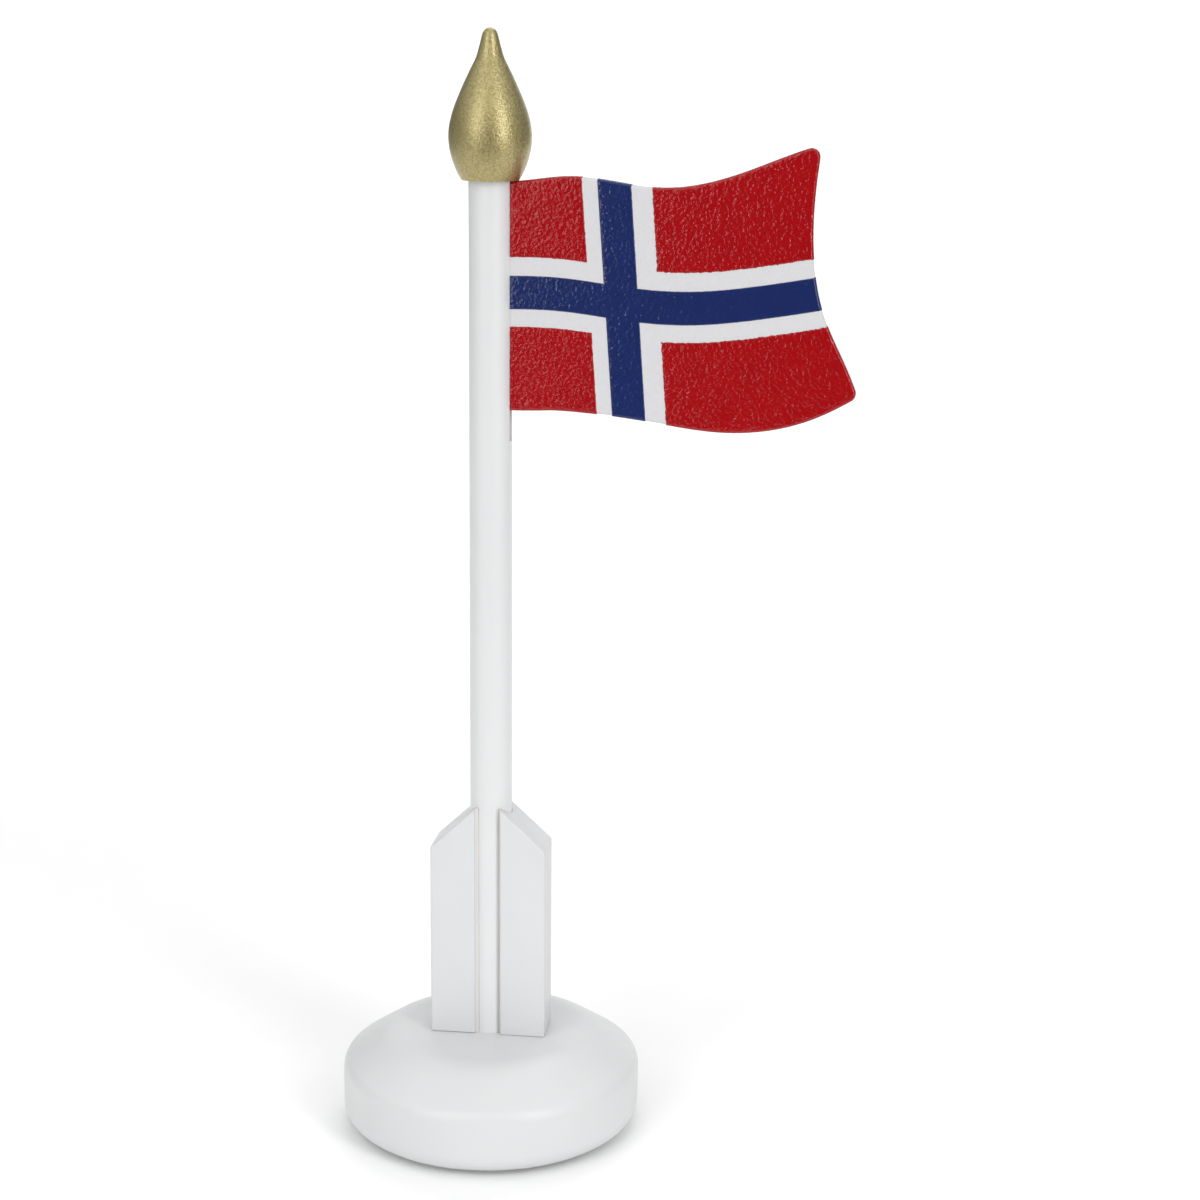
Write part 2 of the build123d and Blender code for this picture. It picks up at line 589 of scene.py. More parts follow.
def cleaned_copy(node: str) -> bmesh.types.BMesh:
    """A node's mesh with its loose triangles joined.

    Args:
        node: The node's name in the frame.

    Returns:
        The mesh, which the caller frees.
    """
    copy = bmesh.new()
    copy.from_mesh(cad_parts[node].data)
    bmesh.ops.remove_doubles(copy, verts=copy.verts, dist=WELD)
    copy.normal_update()
    return copy


def front_outline(node: str) -> list[Vector]:
    """The outline of a node's front face, in X and Z, anticlockwise.

    Args:
        node: The name of a flat node that faces -Y.

    Returns:
        The outline's points in order.
    """
    copy = cleaned_copy(node)
    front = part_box(node)[0].y
    face = {f for f in copy.faces if f.normal.y < -0.99 and f.calc_center_median().y < front + 0.02 * MM}
    following = {}
    for triangle in face:
        for loop in triangle.loops:
            others = set(loop.edge.link_faces) - {triangle}
            if not others & face:
                following[loop.vert] = loop.link_loop_next.vert
    start = min(following, key=lambda vert: vert.co.x + vert.co.z)
    points = []
    here = start
    while not points or here is not start:
        points.append(Vector((here.co.x, here.co.z)))
        here = following[here]
    copy.free()
    return points


def flowing(points: list[Vector], step: float, closed: bool = True, corner: float = 25.0) -> list[Vector]:
    """Draw a smooth line through points, keeping its corners.

    Args:
        points: The line's points.
        step: The distance between the new points.
        closed: Whether the line is a loop.
        corner: A turn of more degrees than this stays sharp.

    Returns:
        The new points.
    """
    count = len(points)
    spans = [points[(i + 1) % count] - points[i] for i in range(count)]
    result: list[Vector] = []
    for index in range(count if closed else count - 1):
        span = spans[index]
        size = span.length
        along = span / size
        slopes = []
        for side, beside in ((-1, spans[index - 1]), (1, spans[(index + 1) % count])):
            at_end = not closed and index + side not in range(count - 1)
            if at_end or beside.angle(span) > math.radians(corner):
                slopes.append(along)
            else:
                slopes.append((beside.normalized() * size + along * beside.length).normalized())
        pieces = max(1, round(size / step))
        for piece in range(pieces):
            t = piece / pieces
            ease = t * t * (3 - 2 * t)
            bow_in = (t - 2 * t * t + t**3) * size
            bow_out = (t**3 - t * t) * size
            result.append(points[index] + span * ease + slopes[0] * bow_in + slopes[1] * bow_out)
    if not closed:
        result.append(points[-1])
    return result


def outward(loop: list[Vector]) -> list[Vector]:
    """Mitred outward directions of a loop.

    Args:
        loop: Its points, anticlockwise.

    Returns:
        One direction for each point, longer than 1 at a corner.
    """
    result = []
    for index, point in enumerate(loop):
        back = (point - loop[index - 1]).normalized()
        ahead = (loop[(index + 1) % len(loop)] - point).normalized()
        normals = (Vector((back.y, -back.x)), Vector((ahead.y, -ahead.x)))
        middle = (normals[0] + normals[1]).normalized()
        result.append(middle / max(0.5, middle.dot(normals[0])))
    return result


def point_tree(points: list[Vector]) -> KDTree:
    """Build a search tree of flat points.

    Args:
        points: The points.

    Returns:
        The tree, which gives back a point's place in the list.
    """
    tree = KDTree(len(points))
    for index, point in enumerate(points):
        tree.insert((point.x, point.y, 0.0), index)
    tree.balance()
    return tree


class EdgeLine:
    """A closed outline that can say how far inside it a point is."""

    SAME = 0.01

    def __init__(self, loop: list[Vector]) -> None:
        """Index the outline.

        Args:
            loop: Its points, anticlockwise and close together.
        """
        self.loop = loop
        self.ways = outward(loop)
        self.tree = point_tree(loop)

    def nearest(self, point: Vector) -> tuple[float, Vector]:
        """Measure a point against the outline.

        Args:
            point: Any point.

        Returns:
            Its depth inside the outline, negative outside, and the outline's outward direction there.
        """
        index = self.tree.find((point.x, point.y, 0.0))[1]
        best = None
        for first in (index - 1, index):
            after = (first + 1) % len(self.loop)
            start = self.loop[first]
            span = self.loop[after] - start
            share = min(1.0, max(0.0, (point - start).dot(span) / span.length_squared))
            gap = (point - start - span * share).length
            if best is None or gap < best[0]:
                way = self.ways[first].lerp(self.ways[after], share).normalized()
                best = (gap, start + span * share, way)
        gap, foot, way = best
        if gap < self.SAME:
            return 0.0, way
        inside = (point - foot).dot(way) < 0
        return (gap, (foot - point) / gap) if inside else (-gap, way)


# ---------------------------------------------------------------- foot


@dataclass
class Foot:
    """The turned foot, and the felt glued under it."""

    turning: Turning
    paint: bpy.types.Material
    felt: bpy.types.Material
    side_height: float = 12.5 * MM
    crown_radius: float = 20.5 * MM
    foot_round: float = 4.0 * MM
    rim_round: float = 3.0 * MM
    crown_round: float = 10.0 * MM
    socket_depth: float = 12.0 * MM
    socket_round: float = 0.15 * MM
    segments: int = 256
    hand: float = 0.16 * MM
    swells_per_metre: float = 55.0
    felt_round: float = 0.25 * MM
    felt_segments: int = 160
    fibre_length: float = 0.55 * MM
    fibre_radius: float = 0.018 * MM
    fibres_per_square_metre: float = 3.5e6
    seed: int = 11

    def build(self) -> None:
        """Build both pieces."""
        self.build_disc()
        self.build_felt()

    def build_disc(self) -> None:
        """Turn the foot, with the socket that the pole stands in."""
        low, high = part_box("base_disc")
        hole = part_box("pole")[1].y
        side_top = low.z + self.side_height
        socket = high.z - self.socket_depth
        corners = [
            (0.0, low.z),
            (high.x, low.z),
            (high.x, side_top),
            (self.crown_radius, high.z),
            (hole, high.z),
            (hole, socket),
            (0.0, socket),
        ]
        radii = [0.0, self.foot_round, self.rim_round, self.crown_round, self.socket_round, 0.0, 0.0]
        outline = rounded(corners, radii, 16)
        look = (self.segments, self.hand, self.swells_per_metre)
        disc = self.turning.turn("turned_foot", outline, self.paint, *look)
        settle(disc, Slot.WHITE_WOOD, "base_disc")

    def build_felt(self) -> None:
        """Cut the felt disc and raise loose fibres on it."""
        low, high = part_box("felt_pad")
        corners = [(0.0, low.z), (high.x, low.z), (high.x, high.z), (0.0, high.z)]
        outline = rounded(corners, [0.0, self.felt_round, self.felt_round, 0.0], 4)
        disc = self.turning.turn("felt_disc", outline, self.felt, self.felt_segments)
        values = {
            "Density": self.fibres_per_square_metre,
            "Length": self.fibre_length,
            "Thickness": self.fibre_radius,
            "Rim": high.x - self.felt_round,
            "Floor": low.z,
            "Ceiling": high.z,
            "Seed": self.seed,
            "Material": self.felt,
        }
        felt = fibre_tree().run(disc, "felt_pad_fibres", values)
        smooth(felt)
        settle(felt, Slot.FELT, "felt_pad")


def fibre_tree() -> GeometryTree:
    """The rule for loose felt: short curved fibres, pressed to lie within the pad's thickness.

    Returns:
        The tree, whose source is the bare disc.
    """
    inputs = dict.fromkeys(("Density", "Length", "Thickness", "Rim", "Floor", "Ceiling"), "NodeSocketFloat")
    made = GeometryTree("felt_edge", inputs | {"Seed": "NodeSocketInt", "Material": "NodeSocketMaterial"})
    entry = made.entry
    place = made.node("GeometryNodeInputPosition").outputs[0]
    flat = made.node("ShaderNodeVectorMath", {0: place, 1: (1.0, 1.0, 0.0)}, operation="MULTIPLY")
    reach = made.node("ShaderNodeVectorMath", {0: flat.outputs[0]}, operation="LENGTH")
    inputs = {0: reach.outputs["Value"], 1: entry["Rim"]}
    on_rim = made.node("ShaderNodeMath", inputs, operation="GREATER_THAN")
    inputs = {name: entry[name] for name in ("Density", "Seed")}
    inputs |= {"Mesh": entry["Geometry"], "Selection": on_rim.outputs[0]}
    scatter = made.node("GeometryNodeDistributePointsOnFaces", inputs)
    inputs = {
        "Resolution": 3,
        "Start": (0.0, 0.0, -0.2),
        "Start Handle": (0.0, 0.1, 0.3),
        "End Handle": (0.25, 0.2, 0.7),
        "End": (0.55, 0.1, 0.8),
    }
    strand = made.node("GeometryNodeCurvePrimitiveBezierSegment", inputs)
    thick = made.node("ShaderNodeMath", {0: entry["Thickness"], 1: entry["Length"]}, operation="DIVIDE")
    inputs = {"Resolution": 3, "Radius": thick.outputs[0]}
    ring = made.node("GeometryNodeCurvePrimitiveCircle", inputs, mode="RADIUS")
    inputs = {"Curve": strand.outputs[0], "Profile Curve": ring.outputs[0], "Fill Caps": True}
    tube = made.node("GeometryNodeCurveToMesh", inputs)
    size = made.node("FunctionNodeRandomValue", {2: 0.4, 3: 1.0, "Seed": entry["Seed"]}, data_type="FLOAT")
    scaled = made.node("ShaderNodeMath", {0: size.outputs[1], 1: entry["Length"]}, operation="MULTIPLY")
    spin = made.node("FunctionNodeRandomValue", {3: math.tau, "Seed": entry["Seed"]}, data_type="FLOAT")
    inputs = {"Axis": (0.0, 0.0, 1.0), "Angle": spin.outputs[1]}
    twist = made.node("FunctionNodeAxisAngleToRotation", inputs)
    inputs = {"Rotation": scatter.outputs["Rotation"], "Rotate By": twist.outputs[0]}
    turn = made.node("FunctionNodeRotateRotation", inputs, rotation_space="LOCAL")
    inputs = {
        "Points": scatter.outputs["Points"],
        "Instance": tube.outputs["Mesh"],
        "Rotation": turn.outputs[0],
        "Scale": scaled.outputs[0],
    }
    plant = made.node("GeometryNodeInstanceOnPoints", inputs)
    real = made.node("GeometryNodeRealizeInstances", {0: plant.outputs[0]})
    there = made.node("GeometryNodeInputPosition").outputs[0]
    parts = made.node("ShaderNodeSeparateXYZ", {0: there}).outputs
    inputs = {"Value": parts["Z"], "Min": entry["Floor"], "Max": entry["Ceiling"]}
    level = made.node("ShaderNodeClamp", inputs).outputs[0]
    whole = made.node("ShaderNodeCombineXYZ", {"X": parts["X"], "Y": parts["Y"], "Z": level})
    inputs = {"Geometry": real.outputs[0], "Position": whole.outputs[0]}
    pressed = made.node("GeometryNodeSetPosition", inputs)
    both = made.node("GeometryNodeJoinGeometry", {0: pressed.outputs[0]})
    made.tree.links.new(entry["Geometry"], both.inputs[0])
    made.close(both.outputs[0])
    return made


# ---------------------------------------------------------------- pole and cheeks


@dataclass
class Pole:
    """The round pole, with the kerf that the flag board is let into."""

    paint: bpy.types.Material
    kerf_bottom: float = 140.4 * MM
    ring_gap: float = 1.2 * MM
    around: int = 120
    hand: float = 0.035 * MM
    swells_round: float = 1.5
    swells_per_mm: float = 0.03
    seed: float = 4.7

    def build(self) -> None:
        """Build the pole through its rings, with a second ring where the kerf starts."""
        low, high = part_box("pole")
        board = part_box("flag_board")
        steps = round((high.z - low.z) / self.ring_gap)
        heights = [low.z + (high.z - low.z) * step / steps for step in range(steps + 1)]
        rings = [(z, False) for z in heights if z < self.kerf_bottom]
        rings += [(self.kerf_bottom, False), (self.kerf_bottom, True)]
        rings += [(z, True) for z in heights if z > self.kerf_bottom]
        tube = bmesh.new()
        rows = []
        for z, cut in rings:
            rows.append([tube.verts.new((x, y, z)) for x, y in self.section(z, cut, high.y, board)])
        for lower, upper in zip(rows, rows[1:]):
            for index in range(len(lower)):
                after = (index + 1) % len(lower)
                corners = [lower[index], lower[after], upper[after], upper[index]]
                if (corners[0].co - corners[3].co).length + (corners[1].co - corners[2].co).length > WELD:
                    tube.faces.new(corners)
        tube.faces.new(list(reversed(rows[0])))
        tube.faces.new(rows[-1])
        bmesh.ops.remove_doubles(tube, verts=tube.verts, dist=WELD)
        bmesh.ops.recalc_face_normals(tube, faces=tube.faces)
        piece = finished("painted_pole", tube, self.paint)
        smooth(piece)
        settle(piece, Slot.WHITE_WOOD, "pole")

    def section(self, z: float, cut: bool, radius: float, board: tuple[Vector, Vector]) -> list[Point2]:
        """The pole's section at a height.

        Args:
            z: The height.
            cut: Whether the kerf is open there.
            radius: The pole's radius.
            board: The flag board's box, which the kerf fits.

        Returns:
            The same number of points for an open and a whole section.
        """
        half = board[1].y
        floor = board[0].x
        reach = math.asin(half / radius)
        mouth = math.sqrt(radius**2 - half**2)
        inside = (mouth + floor) / 2
        slot = [(mouth, -half), (inside, -half), (floor, -half), (floor, -half / 3)]
        slot += [(x, -y) for x, y in reversed(slot)]
        points: list[Point2] = []
        for index, corner in enumerate(slot):
            angle = -reach + 2 * reach * index / (len(slot) - 1)
            points.append(corner if cut else (radius * math.cos(angle), radius * math.sin(angle)))
        for index in range(1, self.around):
            angle = reach + (math.tau - 2 * reach) * index / self.around
            way = Vector((math.cos(angle), math.sin(angle)))
            place = (*way * self.swells_round, z / MM * self.swells_per_mm + self.seed)
            points.append(tuple(way * (radius + self.hand * noise.noise(place))))
        return points


@dataclass
class Cheek:
    """One of the two bevelled blocks that hold the pole upright.

    Its groove's radius is slack more than the pole's. At each lip a sloping face, fill wide, stands for
    paint that has run into the joint. The last bare_edge of that face, and the groove, are bare wood.
    """

    OUTER_CORNERS = 4

    node: str
    name: str
    slack: float
    fill: float
    paint: bpy.types.Material
    bare: bpy.types.Material
    bevel_rise: float = 8.3 * MM
    arris: float = 0.4 * MM
    lift: float = 0.03 * MM
    bare_edge: float = 0.12 * MM
    groove_steps: int = 24
    arris_steps: int = 4
    sharp: float = 25.0

    def build(self) -> None:
        """Extrude the block's plan between the foot and the bevel, and round its arrises."""
        low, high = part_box(self.node)
        side = 1.0 if high.x > 0 else -1.0
        inner = min(abs(low.x), abs(high.x))
        outer = max(abs(low.x), abs(high.x))
        slope = self.bevel_rise / (outer - inner)
        plan = self.plan(inner, outer, high.y)
        block = bmesh.new()
        joint = set()
        weights = block.edges.layers.float.new("bevel_weight_edge")
        lower = [block.verts.new((side * x, y, low.z + self.lift)) for x, y in plan]
        upper = [block.verts.new((side * x, y, high.z - max(0.0, x - inner) * slope)) for x, y in plan]
        count = len(plan)
        for index in range(count):
            after = (index + 1) % count
            wall = block.faces.new([lower[index], lower[after], upper[after], upper[index]])
            wall.material_index = int(self.OUTER_CORNERS < index < count - 2)
            if self.OUTER_CORNERS <= index < count - 1:
                joint.add(wall)
        block.faces.new(list(reversed(lower)))
        block.faces.new(upper)
        bmesh.ops.recalc_face_normals(block, faces=block.faces)
        for edge in block.edges:
            if joint.isdisjoint(edge.link_faces) and edge.calc_face_angle() > math.radians(self.sharp):
                edge[weights] = 1.0
        piece = finished(self.name, block, self.paint, self.bare)
        bevel = piece.modifiers.new("arrises", "BEVEL")
        bevel.width = self.arris
        bevel.segments = self.arris_steps
        bevel.limit_method = "WEIGHT"
        baked(piece)
        smooth(piece)
        settle(piece, Slot.WHITE_WOOD, self.node)

    def plan(self, inner: float, outer: float, half: float) -> list[Point2]:
        """The block's outline seen from above, on the +X side.

        Args:
            inner: The distance from the pole's axis to the block's lips.
            outer: The distance to its outer face.
            half: Half its depth.

        Returns:
            The four outer corners from the front lip, the back lip's paint and bare line, the groove
            from back to front, and the front lip's bare line and paint.
        """
        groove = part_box("pole")[1].y + self.slack
        turn = math.acos(inner / groove)
        wide = turn + self.fill / groove
        front = Vector((inner, -groove * math.sin(turn) - self.fill))
        meet = Vector((groove * math.cos(wide), -groove * math.sin(wide)))
        brown = meet + (front - meet).normalized() * self.bare_edge
        points = [(inner, -half), (outer, -half), (outer, half), (inner, half)]
        points += [(front.x, -front.y), (brown.x, -brown.y)]
        for step in range(self.groove_steps + 1):
            angle = wide - 2 * wide * step / self.groove_steps
            points.append((groove * math.cos(angle), groove * math.sin(angle)))
        points += [(brown.x, brown.y), (front.x, front.y)]
        return points


# ---------------------------------------------------------------- finial


@dataclass
class Finial:
    """The turned drop on top of the pole.

    Over the share slim_span of its height, from slim_from up, it is drawn in by the share slimming.
    """

    turning: Turning
    paint: bpy.types.Material
    bore_depth: float = 10.0 * MM
    bore_margin: float = 0.1 * MM
    segments: int = 224
    hand: float = 0.10 * MM
    swells_per_metre: float = 140.0
    profile_step: float = 0.25 * MM
    slim_from: float = 0.70
    slim_span: float = 0.20
    slimming: float = 0.12

    def build(self) -> None:
        """Turn the drop on the frame's own profile, with the pole's bore in it."""
        low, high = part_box("finial")
        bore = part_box("pole")[1].y
        bore_top = low.z + self.bore_depth
        copy = cleaned_copy("finial")
        side = []
        for vert in copy.verts:
            on_meridian = abs(vert.co.y) < 2 * WELD and vert.co.x > -2 * WELD
            outside = vert.co.x > bore + self.bore_margin or vert.co.z > bore_top + self.bore_margin
            if on_meridian and outside:
                side.append(Vector((max(0.0, vert.co.x), vert.co.z)))
        copy.free()
        side.sort(key=lambda point: (point.y, -point.x))
        for point in side:
            rise = (point.y - low.z) / (high.z - low.z)
            share = min(1.0, max(0.0, (rise - self.slim_from) / self.slim_span))
            point.x *= 1.0 - self.slimming * share * share * (3.0 - 2.0 * share)
        outline = [(0.0, bore_top), (bore, bore_top), (bore, low.z)]
        outline += [tuple(point) for point in flowing(side, self.profile_step, closed=False)]
        look = (self.segments, self.hand, self.swells_per_metre)
        drop = self.turning.turn("gold_drop", outline, self.paint, *look)
        settle(drop, Slot.GOLD, "finial")


# ---------------------------------------------------------------- flag


@dataclass(frozen=True)
class Coat:
    """One colour field of the flag. Its borders wander by rag, in millimetres."""

    node: str
    name: str
    slot: Slot
    rag: float


@dataclass
class Flag:
    """The sawn flag board and its coats of paint, all made from one shared sheet of points.

    Every point of the sheet knows its depth inside the board's edge, so that the arris rolls over, and
    its distance from a colour's border, so that each coat thins out there. Coat outlines less than
    edge_band inside the board's edge run out over it. Lengths inside the sheet are in millimetres.
    """

    finishes: dict[Slot, bpy.types.Material]
    coat_height: float = 0.15
    arris: float = 0.42
    bond: float = 0.02
    thinnest: float = 0.12
    lip: float = 0.28
    lip_steps: tuple[float, ...] = (0.25, 0.6, 1.0)
    roll_margin: float = 0.3
    lip_margin: float = 0.2
    border_step: float = 0.16
    edge_step: float = 0.3
    inner_step: float = 0.9
    overshoot: float = 1.0
    edge_band: float = 0.4
    rolls: int = 5
    join: float = 1e-4
    crease: float = 50.0
    rag_per_mm: float = 2.4
    finer_rag: float = 2.7
    finer_share: float = 0.5
    seed: float = 3.1
    coats: tuple[Coat, ...] = (
        Coat("red_upper_hoist", "red_coat_upper_hoist", Slot.RED, 0.08),
        Coat("red_lower_hoist", "red_coat_lower_hoist", Slot.RED, 0.08),
        Coat("red_upper_fly", "red_coat_upper_fly", Slot.RED, 0.15),
        Coat("red_lower_fly", "red_coat_lower_fly", Slot.RED, 0.15),
        Coat("blue_cross", "blue_coat_cross", Slot.BLUE, 0.03),
    )

    def build(self) -> None:
        """Build the board and every coat."""
        self.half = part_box("flag_board")[1].y / MM
        board = flowing(self.in_millimetres("flag_board"), self.edge_step)
        grown = [point + way * self.coat_height for point, way in zip(board, outward(board))]
        self.edge = EdgeLine(grown)
        self.make_sheet([self.field(coat) for coat in self.coats])
        self.skin("undercoated_board", Slot.UNDERCOAT, "flag_board")
        for index, coat in enumerate(self.coats):
            self.skin(coat.name, coat.slot, coat.node, index)

    def in_millimetres(self, node: str) -> list[Vector]:
        """A node's front outline in millimetres."""
        return [point / MM for point in front_outline(node)]

    def field(self, coat: Coat) -> tuple[list[Vector], KDTree]:
        """Draw a coat's outline, ragged along its borders and run out past the board's own edge.

        Args:
            coat: The coat.

        Returns:
            The outline, and a tree of the points on its borders.
        """
        loop = flowing(self.in_millimetres(coat.node), self.border_step)
        field = []
        borders = []
        for point, way in zip(loop, outward(loop)):
            depth, edge_way = self.edge.nearest(point)
            if depth < self.edge_band:
                field.append(point + edge_way * self.overshoot)
                continue
            place = Vector((point.x, point.y, self.seed)) * self.rag_per_mm
            rag = noise.noise(place) + self.finer_share * noise.noise(place * self.finer_rag)
            field.append(point + way * rag * coat.rag)
            borders.append(field[-1])
        return field, point_tree(borders)

    def make_sheet(self, fields: list[tuple[list[Vector], KDTree]]) -> None:
        """Divide the flag into triangles that follow its edge and every colour's border.

        Args:
            fields: Each coat's outline and border points.
        """
        self.roll = self.arris + self.coat_height
        points = list(self.edge.loop)
        faces = [list(range(len(points)))]
        for field, _ in fields:
            faces.append(list(range(len(points), len(points) + len(field))))
            points += field
        for step in range(1, self.rolls + 1):
            depth = self.roll * (1 - math.cos(math.pi / 2 * step / self.rolls))
            points += [point - way * depth for point, way in zip(self.edge.loop, self.edge.ways)]
        for field, _ in fields:
            for point, way in zip(field, outward(field)):
                points += [point - way * self.lip * share for share in self.lip_steps]
        self.trees = [tree for _, tree in fields]
        points += self.inner_points()
        sheet = delaunay_2d_cdt(points, [], faces, 0, self.join)
        self.points = [Vector(point) for point in sheet[0]]
        self.triangles = list(zip(sheet[2], sheet[5]))
        self.depths = [self.edge.nearest(point) for point in self.points]

    def inner_points(self) -> list[Vector]:
        """Staggered rows of points over the middle of every field, clear of the edge and the borders.

        Returns:
            The points.
        """
        xs = [point.x for point in self.edge.loop]
        ys = [point.y for point in self.edge.loop]
        rows = int((max(ys) - min(ys)) / self.inner_step)
        columns = int((max(xs) - min(xs)) / self.inner_step)
        result = []
        for row in range(rows + 1):
            for column in range(columns + 1):
                x = min(xs) + (column + 0.5 * (row % 2)) * self.inner_step
                point = Vector((x, min(ys) + row * self.inner_step))
                if self.edge.nearest(point)[0] < self.roll + self.roll_margin:
                    continue
                nearest = min(tree.find((x, point.y, 0.0))[2] for tree in self.trees)
                if nearest > self.lip + self.lip_margin:
                    result.append(point)
        return result

    def place(self, index: int, height: float, side: float) -> Vector:
        """Where a point of the sheet lies on the board.

        Args:
            index: The sheet point.
            height: How far above the bare board it is.
            side: -1 on the front, 1 on the back.

        Returns:
            The point in metres.
        """
        point = self.points[index]
        depth, way = self.depths[index]
        if depth >= self.roll:
            return Vector((point.x, side * (self.half + height), point.y)) * MM
        share = (self.roll - max(0.0, depth)) / self.roll
        centre = point - way * (self.roll - max(0.0, depth))
        reach = self.arris + height
        rise = math.sqrt(1 - share**2) * reach
        flat = centre + way * share * reach
        return Vector((flat.x, side * (self.half - self.arris + rise), flat.y)) * MM

    def skin(self, name: str, slot: Slot, node: str, coat: int | None = None) -> None:
        """Wrap the board, or one coat, round front, edge and back.

        Args:
            name: The piece's name.
            slot: Its finish.
            node: The frame's node that it stands for.
            coat: The coat's place in the list, or None for the whole board.
        """
        wanted = {0} if coat is None else {0, coat + 1}
        chosen = [list(face) for face, fields in self.triangles if wanted <= set(fields)]
        used = sorted({index for face in chosen for index in face})
        order = {index: place for place, index in enumerate(used)}
        count = len(used)
        faces = [[order[index] for index in face] for face in chosen]
        sides = faces + [[index + count for index in reversed(face)] for face in faces]
        for start, end in open_edges(faces):
            if max(self.depths[used[start]][0], self.depths[used[end]][0]) < EdgeLine.SAME:
                sides.append([end, start, start + count, end + count])
        heights = [0.0] * count
        if coat is not None:
            heights = [self.height_of(index, self.trees[coat]) for index in used]
        vertices = []
        for side in (-1.0, 1.0):
            vertices += [self.place(index, height, side) for index, height in zip(used, heights)]
        if coat is not None:
            rim = open_edges(sides)
            for side in (-1.0, 1.0):
                vertices += [self.place(index, -self.bond, side) for index in used]
            inside = [[index + 2 * count for index in reversed(face)] for face in sides]
            walls = [[end, start, start + 2 * count, end + 2 * count] for start, end in rim]
            sides += inside + walls
        mesh = bpy.data.meshes.new(name + "_mesh")
        mesh.from_pydata(vertices, [], sides)
        mesh.validate()
        mesh.materials.append(self.finishes[slot])
        piece = new_object(name, mesh)
        smooth(piece, self.crease)
        settle(piece, slot, node)

    def height_of(self, index: int, borders: KDTree) -> float:
        """How thick a coat is at a point: full inside, rounded off to its thinnest at its border.

        Args:
            index: The sheet point.
            borders: The coat's border points.

        Returns:
            The thickness in millimetres.
        """
        point = self.points[index]
        share = min(1.0, borders.find((point.x, point.y, 0.0))[2] / self.lip)
        return self.coat_height * (self.thinnest + (1 - self.thinnest) * math.sqrt(1 - (1 - share) ** 2))


def open_edges(faces: list[list[int]]) -> list[tuple[int, int]]:
    """The edges that only one face has.

    Args:
        faces: Each face's corners in order.

    Returns:
        The two ends of each such edge, in its face's direction.
    """
    seen = set()
    for face in faces:
        for start, end in zip(face, face[1:] + face[:1]):
            seen.add((start, end))
    return sorted((start, end) for start, end in seen if (end, start) not in seen)


# ---------------------------------------------------------------- studio


@dataclass(frozen=True)
class Softbox:
    """A soft light panel, aimed at a point. Its light is out of every picture."""

    name: str
    spot: tuple[float, float, float]
    aim: tuple[float, float, float]
    width: float
    tall: float
    watts: float

    def build(self) -> None:
        """Put the light in the scene."""
        lamp = bpy.data.lights.new(self.name, "AREA")
        lamp.shape = "RECTANGLE"
        lamp.size = self.width
        lamp.size_y = self.tall
        lamp.energy = self.watts
        piece = new_object(self.name, lamp)
        piece.location = self.spot
        piece.rotation_euler = (Vector(self.aim) - Vector(self.spot)).to_track_quat("-Z", "Y").to_euler()
        piece.visible_camera = False


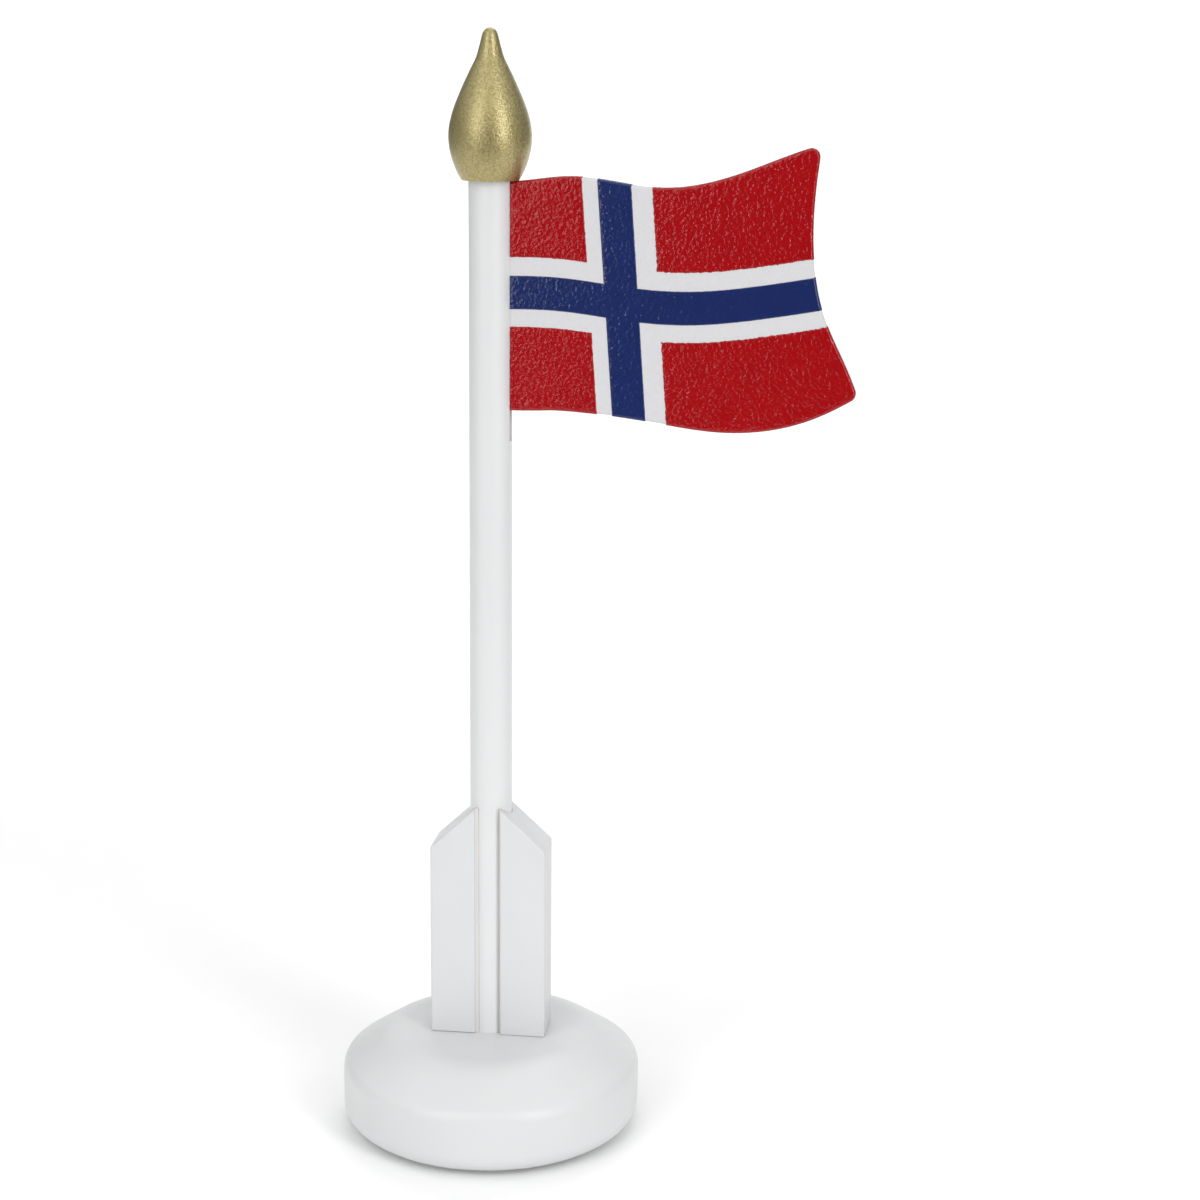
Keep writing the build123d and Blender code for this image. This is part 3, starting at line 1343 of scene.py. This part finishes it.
@dataclass
class Studio:
    """A paper sweep for a floor, the room's own light, the softboxes and the camera.

    The room's low and high are its strength near the horizon and overhead. Its front, right, left and
    back are what that is multiplied by on those sides.
    """

    paper_half_width: float = 0.80
    paper_front: float = -0.35
    paper_back: float = 1.5
    paper_bend: float = 0.4
    paper_top: float = 0.6
    room_low: float = 0.45
    room_high: float = 1.1
    room_front: float = 0.05
    room_right: float = 0.65
    room_left: float = 0.70
    room_back: float = 0.50
    softboxes: tuple[Softbox, ...] = (
        Softbox("left_strip", (-0.48, -0.70, 0.42), (0.0, 0.0, 0.16), 0.30, 0.80, 1.75),
        Softbox("front_strip", (-0.225, -0.82, 0.40), (0.0, 0.0, 0.14), 0.055, 0.80, 0.95),
        Softbox("right_strip", (0.62, -0.58, 0.42), (0.0, 0.0, 0.16), 0.20, 0.80, 3.2),
        Softbox("backdrop_light", (0.0, 0.9, 1.5), (0.0, 1.9, 0.2), 1.0, 0.3, 13.0),
    )
    camera_bearing: float = 9.70
    camera_distance: float = 449.35 * MM
    camera_height: float = 212.64 * MM
    camera_pan: float = 2.72
    camera_pitch: float = -13.01
    camera_roll: float = 0.53
    lens: float = 70.72

    def build(self) -> None:
        """Set up everything round the object."""
        self.build_floor()
        self.build_room()
        for softbox in self.softboxes:
            softbox.build()
        self.build_camera()
        bpy.context.scene.view_settings.view_transform = "Standard"

    def build_floor(self) -> None:
        """Lay the pale paper, which bends up into a backdrop behind the stand."""
        corners = [(self.paper_front, 0.0), (self.paper_back, 0.0), (self.paper_back, self.paper_top)]
        profile = rounded(corners, [0.0, self.paper_bend, 0.0], 24)
        paper = bmesh.new()
        edges = []
        for x in (-self.paper_half_width, self.paper_half_width):
            edges.append([paper.verts.new((x, y, z)) for y, z in profile])
        for index in range(len(profile) - 1):
            left, right = edges
            paper.faces.new([left[index], right[index], right[index + 1], left[index + 1]])
        mesh = bpy.data.meshes.new("paper_mesh")
        paper.to_mesh(mesh)
        paper.free()
        mesh.materials.append(Paper().build())
        mesh.shade_smooth()
        new_object("floor", mesh)

    def build_room(self) -> None:
        """Light the room evenly, brighter overhead, dimmer behind and at the sides, dark in front."""
        world = bpy.data.worlds.new("studio_room")
        world.use_nodes = True
        bpy.context.scene.world = world
        tree = world.node_tree
        place = add_node(tree, "ShaderNodeTexCoord").outputs["Generated"]
        axes = add_node(tree, "ShaderNodeSeparateXYZ", {"Vector": place}).outputs
        levels = (
            ("Z", 0.2, 0.6, self.room_low, self.room_high),
            ("Y", -0.97, -0.72, self.room_front, 1.0),
            ("Y", 0.0, 0.6, 1.0, self.room_back),
            ("X", 0.25, 0.85, 1.0, self.room_right),
            ("X", -0.85, -0.25, self.room_left, 1.0),
        )
        strength = None
        for axis, *span in levels:
            inputs = dict(zip(RANGE_INPUTS, span)) | {"Value": axes[axis]}
            ramp = add_node(tree, "ShaderNodeMapRange", inputs, interpolation_type="SMOOTHSTEP")
            level = ramp.outputs["Result"]
            if strength is not None:
                both = add_node(tree, "ShaderNodeMath", {0: strength, 1: level}, operation="MULTIPLY")
                level = both.outputs[0]
            strength = level
        back = tree.nodes["Background"].inputs
        back["Color"].default_value = (1.0, 1.0, 1.0, 1.0)
        tree.links.new(strength, back["Strength"])

    def build_camera(self) -> None:
        """Stand the camera in front and a little to the right, looking down at the foot."""
        lens = bpy.data.cameras.new("camera")
        lens.lens = self.lens
        lens.sensor_width = 36.0
        lens.clip_start = 0.01
        piece = new_object("camera", lens)
        bearing = math.radians(self.camera_bearing)
        spot = Vector((math.sin(bearing), -math.cos(bearing), 0.0)) * self.camera_distance
        spot.z = self.camera_height
        heading = bearing - math.radians(self.camera_pan)
        turns = Matrix.Rotation(heading, 4, "Z")
        turns @= Matrix.Rotation(math.radians(90.0 + self.camera_pitch), 4, "X")
        turns @= Matrix.Rotation(math.radians(self.camera_roll), 4, "Z")
        piece.matrix_world = Matrix.Translation(spot) @ turns
        bpy.context.scene.camera = piece


# ---------------------------------------------------------------- the whole stand


def main() -> None:
    """Build every sub-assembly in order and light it."""
    logging.basicConfig(level=logging.INFO, format="%(name)s: %(message)s")
    turning = Turning()
    # The pole's white is the foot's paint made about a tenth lighter: painted light, for the sheen the
    # round pole catches.
    pole_painted_light_tints = ((0.715, 0.722, 0.725), (0.700, 0.707, 0.711))
    # The cheeks' white is the foot's paint made a little lighter: painted light, for the brighter light
    # higher up the stand.
    cheek_painted_light_tints = ((0.662, 0.671, 0.679), (0.648, 0.657, 0.666))
    cheek_finishes = (WhitePaint("cheek_paint", Grain.ALONG_Z, *cheek_painted_light_tints).build(), BARE_WOOD.build())
    Foot(turning, WhitePaint("foot_paint", Grain.ALONG_X).build(), FELT.build()).build()
    Pole(WhitePaint("pole_paint", Grain.ALONG_Z, *pole_painted_light_tints).build()).build()
    Cheek("left_cheek", "left_cheek_block", 0.02 * MM, 0.85 * MM, *cheek_finishes).build()
    Cheek("right_cheek", "right_cheek_block", 0.10 * MM, 0.45 * MM, *cheek_finishes).build()
    Finial(turning, GoldPaint("gold_paint").build()).build()
    finishes = {
        Slot.UNDERCOAT: Undercoat("undercoat").build(),
        Slot.RED: RED_LACQUER.build(),
        Slot.BLUE: BLUE_LACQUER.build(),
    }
    Flag(finishes).build()
    Studio().build()


if __name__ == "__main__":
    main()
